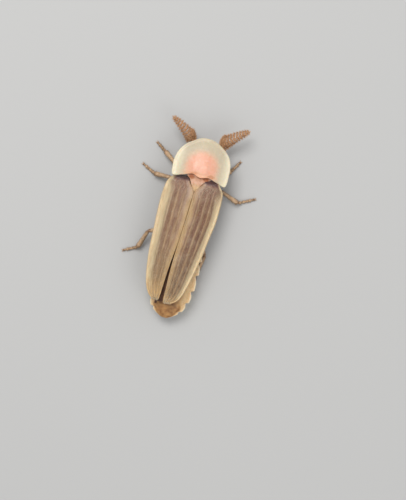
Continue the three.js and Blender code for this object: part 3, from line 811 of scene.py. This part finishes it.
def pronotum_height(x, y, out):
    """Top of the hood; out is 0 in the middle and 1 on the rim."""
    back = np.clip((y - PRONOTUM_FRONT) / 3.2, 0, 1)
    brim = PRONOTUM_BRIM + 0.1 * back
    crown = PRONOTUM_CROWN + PRONOTUM_RISE * np.sin(np.minimum(1, back / 0.85) * math.pi / 2)
    half_width = 0.8 + 1.5 * np.sin(np.minimum(1, back / 0.62) * math.pi / 2)
    reach = np.minimum(1, np.abs(x) / half_width)
    z = brim + (crown - brim) * np.cos(reach * math.pi / 2) ** 1.3
    z = z + 0.05 * smoothstep(0.88, 1.0, out) - 0.025 * hump(out, 0.85, 0.07)
    for side in (-1, 1):
        z = z + 0.05 * hump(x, 0.08 + 0.5 * side, 0.28) * hump(y, -0.8, 0.5)
    return z + 0.012 * ripple(x, y, 0.5, 31) + 0.006 * ripple(x, y, 0.16, 32) - 0.03


def make_pronotum():
    shape = shield(PRONOTUM_RIM, pronotum_height, PRONOTUM_THICKNESS, rings=52, steps=240, roll=0.09)
    add_piece("pronotum_shell", shape, pronotum_finish(), ["pronotum"])


def scutellum_height(x, y, out):
    z = SCUTELLUM_TOP + 0.06 * smoothstep(0.0, 1.0, 1 - out)
    z = z - 0.02 * hump(x, 0.05, 0.12) * smoothstep(0.0, 0.4, y)
    z = z + 0.01 * ripple(x, y, 0.25, 71)
    return z - 0.36 * smoothstep(0.25, -0.3, y) - 0.1 * smoothstep(0.4, 0.9, np.abs(x))


def make_scutellum():
    shape = shield(SCUTELLUM_RIM, scutellum_height, SCUTELLUM_THICKNESS, rings=24, steps=140, roll=0.07)
    add_piece("scutellum_shell", shape, scutellum_finish(), ["scutellum"])


def hindwing_surface(stations, inner, outer, taper, end, seed):
    """The middle surface of a folded membrane, from the shares of the wing cover that it fills."""

    def middle(u, v):
        y = HINDWING_START + (end - HINDWING_START) * v
        seam = at(ELYTRON_LEFT, y, 1)
        near = seam + (at(ELYTRON_LEFT, y, 2) - seam) * inner
        base = at(stations, y, 1)
        far = base + (at(stations, y, 2) - base) * outer
        far = near + (far - near) * (1 - taper * smoothstep(0.7, 1.02, v))
        x = near + (far - near) * u
        z = roof_height(x, y) - HINDWING_DEPTH + 0.035 * ripple(x, y * 0.12, 0.3, seed)
        for vein in VEIN_LANES:
            z = z + 0.04 * hump(u, vein + 0.05 * v, 0.02)
        return np.stack([x, y, z], -1)

    return middle


def make_hindwing(side, stations, inner, outer, taper, end, drop, seed):
    """A dark folded membrane with raised veins, close under the wing covers."""
    surface = hindwing_surface(stations, inner, outer, taper, end, seed)
    shape = plate(surface, HINDWING_THICKNESS, lanes_with_edges(50), lanes_with_edges(90), rim=0.05)
    shape.points[:, 2] -= drop
    node = "hindwing_" + side
    add_piece(node + "_membrane", shape, MATERIALS["membrane"], [node])


def trunk(table, axis, widest, detail, tuck, stations, sides):
    """A closed skin round a row of stations; detail shifts its points in place."""
    y = np.linspace(table[0][0], table[-1][0], stations)
    half, top, under = (at(table, y, column)[:, None] for column in (1, 2, 3))
    widest = widest(y)[:, None]
    angle = np.linspace(0, 2 * math.pi, sides, endpoint=False)[None]
    c, s = np.cos(angle), np.sin(angle)
    x = axis + half * c * np.where(s < 0, 1 + tuck * s, 1)
    z = np.where(s > 0, widest + (top - widest) * s, widest + (widest - under) * s)
    points = detail(stacked(x, y[:, None], z), y[:, None], c, s)
    return loft(points, stacked(0.5 + 0.5 * s, np.linspace(0, 1, stations)[:, None]))


def abdomen_axis(y):
    """The tail lies a little to the animal's left."""
    return -0.03 + 0.13 * smoothstep(9.2, 10.8, y)


def lobe_height(y):
    """Where the abdomen is widest, on the line of its side lobes."""
    return 1.45 - 0.33 * smoothstep(8.5, 11.4, y)


def segment_share(y):
    """How far y lies through its segment of the abdomen, from 0 at the front to 1 at the hind edge."""
    bounds = np.array([ABDOMEN[0][0], *SEGMENT_ENDS])
    starts, ends = bounds[:-1], bounds[1:]
    which = np.clip(np.searchsorted(ends, y), 0, len(ends) - 1)
    return np.clip((y - starts[which]) / (ends - starts)[which], 0, 1)


def abdomen_detail(points, y, c, s):
    """Overlapping segments: each swells to its hind edge, with a flat leaf-like lobe on each side."""
    share = segment_share(y)
    fade = 1 - smoothstep(10.7, 11.3, y)
    swell = 0.05 * smoothstep(0.0, 0.9, share) - 0.05 * smoothstep(0.965, 1.0, share)
    leaf = smoothstep(-0.2, 0.5, share) * (1 - 0.75 * smoothstep(0.86, 1.0, share) ** 2)
    x, _, z = np.moveaxis(points, -1, 0)
    x *= 1 + swell * fade
    x += abdomen_axis(y)
    x += np.sign(c) * LOBE_REACH * leaf * hump(s, 0.0, 0.2) * fade
    middle = lobe_height(y)
    z[:] = middle + (z - middle) * (1 + swell * 1.6 * fade)
    z += (0.16 * leaf - 0.03) * hump(s, 0.0, 0.3) * fade
    z -= 0.06 * hump(s, 0.5, 0.14) * fade
    z += 0.01 * ripple(x, y, 0.3, 51)
    return points


def make_abdomen():
    shape = trunk(ABDOMEN, 0.0, lobe_height, abdomen_detail, tuck=0.22, stations=330, sides=120)
    nodes = ["abdomen", "lantern_front", "lantern_rear", "pygidium"]
    add_piece("abdomen_skin", shape, abdomen_finish(), nodes)


def thorax_widest(y):
    return THORAX_WIDEST + 0 * y


def thorax_detail(points, y, _, s):
    """Grooves between the plates of the underside, and bosses that carry the legs."""
    x, _, z = np.moveaxis(points, -1, 0)
    for seam in THORAX_SEAMS:
        z += np.where(s < 0, 0.07, -0.03) * hump(y, seam, 0.07)
    z += np.where(s < 0, 0.06, 0.0) * hump(x, THORAX_AXIS, 0.06)
    for root, *_ in LEGS.values():
        away = (x - root[0]) ** 2 + (y - root[1]) ** 2
        z -= np.where(s < -0.05, 0.24, 0.0) * np.exp(-away / 0.12)
    z += 0.012 * ripple(x, y, 0.3, 61)
    return points


def make_thorax():
    shape = trunk(THORAX, THORAX_AXIS, thorax_widest, thorax_detail, tuck=0.12, stations=240, sides=80)
    add_piece("thorax_skin", shape, MATERIALS["underside"], ["prothorax", "pterothorax"])


def head_bend(points, spot):
    """A short muzzle, a groove down the brow and a neck that runs back under the hood."""
    x, y, z = np.moveaxis(spot, -1, 0)
    width, depth, _ = np.moveaxis(points, -1, 0)
    depth += np.where(y > 0, 0.55 * y**2, 0)
    width *= np.where(y > 0, 1 - 0.25 * y, 1)
    depth -= 0.12 * hump(x, 0, 0.35) * hump(z, -0.55, 0.3) * (y < 0)
    depth += 0.05 * hump(x, 0, 0.08) * hump(z, 0.3, 0.4) * (y < 0)
    return points


def make_head():
    skull = egg(HEAD_CENTRE, HEAD_RADII, 64, 48, head_bend)
    sockets = []
    for side in (-1, 1):
        ring = [(side * 0.2, -2.86, 1.47), (side * 0.2, -2.99, 1.46)]
        sockets.append(tube(ring, [(0, 0.13), (0.6, 0.15), (1, 0.1)], 20, 8))
    clypeus = egg((0, -2.92, 1.12), (0.26, 0.14, 0.1), 28, 16)
    add_piece("head_skin", joined([skull, clypeus, *sockets]), MATERIALS["head"], ["head"])
    for name, side in SIDES.items():
        eye = egg((side * EYE_OUT, -2.46, 1.38), (EYE_RADIUS, EYE_RADIUS * 1.02, EYE_RADIUS), 56, 40)
        add_piece("eye_%s_facets" % name, eye, MATERIALS["eye"], ["eye_" + name])


def make_mouthparts():
    """Jaws, and jointed feelers at the mouth."""
    shapes = []
    for side in (-1, 1):
        jaw = [(side * x, y, z) for x, y, z in JAW]
        shapes.append(tube(jaw, [(0, 0.07), (0.5, 0.05), (1, 0.012)], 14, 16))
        palp = [(side * x, y, z) for x, y, z in PALP]
        beads = []
        for joint in range(4):
            start = joint / 4
            beads += [(start, 0.035), (start + 0.06, 0.06), (start + 0.2, 0.07)]
        beads += [(1, 0.02)]
        shapes.append(tube(palp, beads, 14, 44))
    labium = egg((0, -2.72, 0.9), (0.22, 0.2, 0.1), 24, 14)
    add_piece("mouthparts_skin", joined([*shapes, labium]), MATERIALS["leg"], ["mouthparts"])


def hairs_on_tube(points, radii, count, length, draw, lean=0.6):
    """Roots, directions and lengths of hairs scattered over a limb."""
    share = draw.uniform(0.04, 0.98, count)
    fine = np.linspace(0, 1, 200)
    route = along(points, fine)
    tangent, across, over = frames(route)
    index = (share * 199).astype(int)
    angle = draw.uniform(0, 2 * math.pi, count)[:, None]
    out = across[index] * np.cos(angle) + over[index] * np.sin(angle)
    size = along_pairs(radii, share)[:, None]
    roots = route[index] + out * size * 0.93
    directions = out + tangent[index] * lean + draw.normal(0, 0.12, (count, 3))
    lengths = length * draw.uniform(0.6, 1.2, count)
    return roots, directions, lengths, np.stack([share, angle[:, 0] / 6.3], -1)


def coat_limb(name, coats, radius, material):
    """A piece of all hairs of a limb, clear of the floor. Each tube has a strip of the map to itself."""
    rows = []
    for strip, (roots, directions, lengths, patches) in enumerate(coats):
        own = np.stack([patches[:, 0], (strip + patches[:, 1]) / len(coats)], -1)
        rows.append((roots, directions, lengths, own))
    roots, directions, lengths, patches = [np.concatenate(row) for row in zip(*rows)]
    high = roots[:, 2] + lengths * 0.2 * np.sign(unit(directions)[:, 2]) > 0.05
    shape = hair_shape(roots[high], directions[high], lengths[high], radius, patches[high])
    shape.points[:, 2] = np.maximum(shape.points[:, 2], 0.004)
    add_piece(name, shape, MATERIALS[material], layer="OFBake")


def bead_profile(ends, radius):
    """Radii of a foot: each bead widens to its far end, and the last is slender."""
    profile = []
    for i, (start, end) in enumerate(zip(ends, ends[1:])):
        size = radius * (0.62 if i == 4 else 1.12 if i == 3 else 1 - 0.05 * i)
        length = end - start
        profile += [(start + 0.01, 0.45 * size), (start + 0.35 * length, 0.78 * size)]
        profile += [(start + 0.8 * length, size), (end - 0.01, 0.6 * size)]
    return profile


def scaled(profile, radius):
    return [(share, size * radius) for share, size in profile]


def make_leg(name, joints, seed):
    """Coxa, trochanter, femur, tibia with spurs, five foot beads and two claws."""
    root, knee, ankle, tip = (np.array(joint) for joint in joints)
    draw = np.random.default_rng(seed)
    lift = np.array([0, 0, 1.0])
    femur_route = [root, root * 0.5 + knee * 0.5 + lift * 0.07, knee]
    tibia_route = [knee, knee * 0.5 + ankle * 0.5 + lift * 0.05, ankle]
    flat_tip = tip * [1, 1, 0] + lift * TARSUS_RADIUS * 0.8
    foot = ankle * 0.75 + flat_tip * 0.25
    foot[2] = TARSUS_RADIUS * 1.1
    beyond = ankle * 0.4 + flat_tip * 0.6
    beyond[2] = TARSUS_RADIUS
    tarsus_route = [ankle, foot, beyond, flat_tip]
    femur = scaled(FEMUR_PROFILE, FEMUR_RADIUS)
    tibia = scaled(TIBIA_PROFILE, TIBIA_RADIUS)
    tarsus = bead_profile(TARSUS_ENDS, TARSUS_RADIUS)
    inward = np.array([-0.1 * np.sign(root[0]), 0, 0])
    coxa = [root + lift * 0.5 + inward * 2, root + lift * 0.22 + inward, root]
    shapes = [
        tube(coxa, COXA_PROFILE, 24, 20),
        tube(femur_route, femur, 24, 60),
        tube(tibia_route, tibia, 22, 56),
        tube(tarsus_route, tarsus, 18, 110, 0.85),
    ]
    forward = unit(flat_tip - foot)
    for side in (-1, 1):
        aside = np.cross(forward, lift) * side
        end = forward * 0.12 + aside * 0.1 - lift * 0.05
        claw = [flat_tip - forward * 0.05, flat_tip + forward * 0.05 + aside * 0.07, flat_tip + end]
        shapes.append(tube(claw, [(0, 0.035), (0.5, 0.028), (1, 0.006)], 10, 14))
        spur = [ankle, ankle + end]
        shapes.append(tube(spur, [(0, 0.03), (1, 0.006)], 8, 6))
    add_piece("leg_%s_skin" % name, joined(shapes), MATERIALS["leg"], ["leg_" + name])
    limbs = ((femur_route, femur), (tibia_route, tibia), (tarsus_route, tarsus))
    coats = [hairs_on_tube(*limb, *hairs, draw) for limb, hairs in zip(limbs, LEG_HAIRS)]
    coat_limb("leg_%s_hair" % name, coats, LEG_HAIR_RADIUS, "leg_hair")


def stalk_profile():
    """Radii of a feeler's stalk: two thick joints, then beads that grow finer to the tip."""
    profile = list(ANTENNA_BASE)
    length = (1 - FLAGELLUM_START) / FLAGELLUM_BEADS
    for bead in range(FLAGELLUM_BEADS):
        start = FLAGELLUM_START + (1 - FLAGELLUM_START) * bead / FLAGELLUM_BEADS
        size = 1.05 - 0.55 * bead / FLAGELLUM_BEADS
        profile += [(start + 0.01, 0.7 * size), (start + 0.75 * length, 1.1 * size)]
        profile += [(start + 0.97 * length, 0.75 * size)]
    return scaled(profile, STALK_RADIUS)


def make_antenna(name, side, route):
    """A beaded stalk with two rows of long curved branches, each fringed with fine hairs."""
    draw = np.random.default_rng(ANTENNA_SEED + side)
    stalk = stalk_profile()
    radii = scaled(BRANCH_PROFILE, BRANCH_RADIUS)
    shapes = [tube(route, stalk, 18, 190)]
    coats = [hairs_on_tube(route, stalk, STALK_HAIRS, STALK_HAIR_LENGTH, draw)]
    fine = along(route, np.linspace(0, 1, 400))
    tangent = unit(np.gradient(fine, axis=0))
    for bead in range(FLAGELLUM_BEADS - 1):
        share = FLAGELLUM_START + (1 - FLAGELLUM_START) * (bead + 0.72) / FLAGELLUM_BEADS
        index = int(share * 399)
        taper = 1 - 0.9 * (bead / FLAGELLUM_BEADS) ** 1.1
        for row, size, rise in ((side, FRONT_BRANCH, 0.12), (-side, REAR_BRANCH, -0.5)):
            length = size * taper * draw.uniform(0.95, 1.05)
            branch = branch_route(fine[index], tangent[index], row, length, rise)
            shapes.append(tube(branch, radii, 12, 26))
            hairs = int(BRANCH_HAIRS * taper)
            coats.append(hairs_on_tube(branch, radii, hairs, BRANCH_HAIR_LENGTH, draw, lean=0.9))
    node = "antenna_" + name
    add_piece(node + "_comb", joined(shapes), MATERIALS["comb"], [node])
    coat_limb(node + "_hair", coats, COMB_HAIR_RADIUS, "comb_hair")


def branch_route(root, forward, row, length, rise):
    """A branch that leaves the stalk sideways and bends to its tip."""
    aside = unit(np.cross(forward, [0, 0, 1.0])) * row
    out = aside + np.array([0, 0, rise])
    return [
        root + np.array([0, 0, STALK_RADIUS * 0.7]),
        root + out * length * 0.35 + forward * length * 0.06 + np.array([0, 0, STALK_RADIUS]),
        root + out * length * 0.7 + forward * length * 0.24,
        root + out * length * 0.93 + forward * length * 0.52,
    ]


def make_materials():
    return {
        "membrane": membrane_finish(),
        "underside": cuticle_finish("underside_skin", tint(160, 120, 82), tint(92, 62, 40)),
        "head": cuticle_finish("head_skin", tint(128, 90, 58), tint(62, 42, 28), 0.4),
        "leg": cuticle_finish("leg_skin", TAN, TAN_DEEP, 0.42, 0.12, 14.0, 0.4),
        "comb": cuticle_finish("antenna_skin", COMB, COMB_DEEP, 0.5, 0.1, 20.0),
        "eye": eye_finish(),
        "pale_hair": hair_finish("pale_hair", tint(196, 172, 138), tint(232, 216, 188)),
        "leg_hair": hair_finish("leg_hair", tint(132, 100, 70), tint(190, 160, 124)),
        "comb_hair": hair_finish("comb_hair", tint(196, 146, 102), tint(226, 184, 142)),
    }


def to_world(point):
    return (Vector(point) + Vector(SHIFT)) * MM


def make_floor():
    look = Finish("floor", 0.9)
    look.shader.inputs["Base Color"].default_value = tint(190, 189, 187)
    half = FLOOR_HALF
    corners = [(-half, -half, 0), (half, -half, 0), (half, half, 0), (-half, half, 0)]
    mesh = bpy.data.meshes.new("floor")
    mesh.from_pydata(corners, [], [(0, 1, 2, 3)])
    mesh.materials.append(look.material)
    floor = add_object("floor", mesh)


def make_light(name, place, power, size):
    data = bpy.data.lights.new(name, "AREA")
    data.energy = power
    data.shape = "DISK"
    data.size = size
    light = add_object(name, data)
    light.location = place
    light.rotation_euler = (-Vector(place)).to_track_quat("-Z", "Y").to_euler()


def make_lights():
    world = bpy.data.worlds.new("sky")
    world.use_nodes = True
    background = world.node_tree.nodes["Background"]
    background.inputs["Color"].default_value = (0.97, 0.985, 1.0, 1.0)
    background.inputs["Strength"].default_value = SKY_STRENGTH
    bpy.context.scene.world = world
    for name, (place, power, size) in LIGHTS.items():
        make_light(name, place, power, size)


def make_camera():
    """Straight above the animal, turned as the photograph is."""
    data = bpy.data.cameras.new("camera")
    data.lens = LENS
    data.sensor_width = SENSOR
    data.clip_start = 0.001
    data.clip_end = 10
    camera = add_object("camera", data)
    up = FRAME_UP.normalized()
    back = Vector((0, 0, 1))
    right = up.cross(back)
    distance = FRAME_HEIGHT * LENS / SENSOR
    place = to_world(FRAME_MIDDLE + back * distance)
    turn = Matrix((right, up, back)).transposed().to_4x4()
    camera.matrix_world = Matrix.Translation(place) @ turn
    bpy.context.scene.camera = camera
    bpy.context.scene.view_settings.view_transform = "Standard"


MATERIALS = make_materials()
make_camera()
make_lights()
make_floor()
make_pronotum()
make_scutellum()
make_elytron("left", ELYTRON_LEFT, shoulder=0.74, margin=0.62, seam=0.07, tip=0.69, seed=101)
make_elytron("right", ELYTRON_RIGHT, shoulder=0.9, margin=0.72, seam=0.08, tip=0.78, seed=201)
make_hindwing("left", ELYTRON_LEFT, inner=0.1, outer=0.86, taper=0.1, end=10.42, drop=0.14, seed=41)
make_hindwing("right", ELYTRON_RIGHT, inner=0.07, outer=0.72, taper=0.6, end=10.2, drop=0.0, seed=43)
make_thorax()
make_abdomen()
make_head()
make_mouthparts()
for number, (leg_name, leg_joints) in enumerate(LEGS.items()):
    make_leg(leg_name, leg_joints, LEG_SEED + number)
for antenna_name, antenna_route in ANTENNAE.items():
    make_antenna(antenna_name, SIDES[antenna_name], antenna_route)
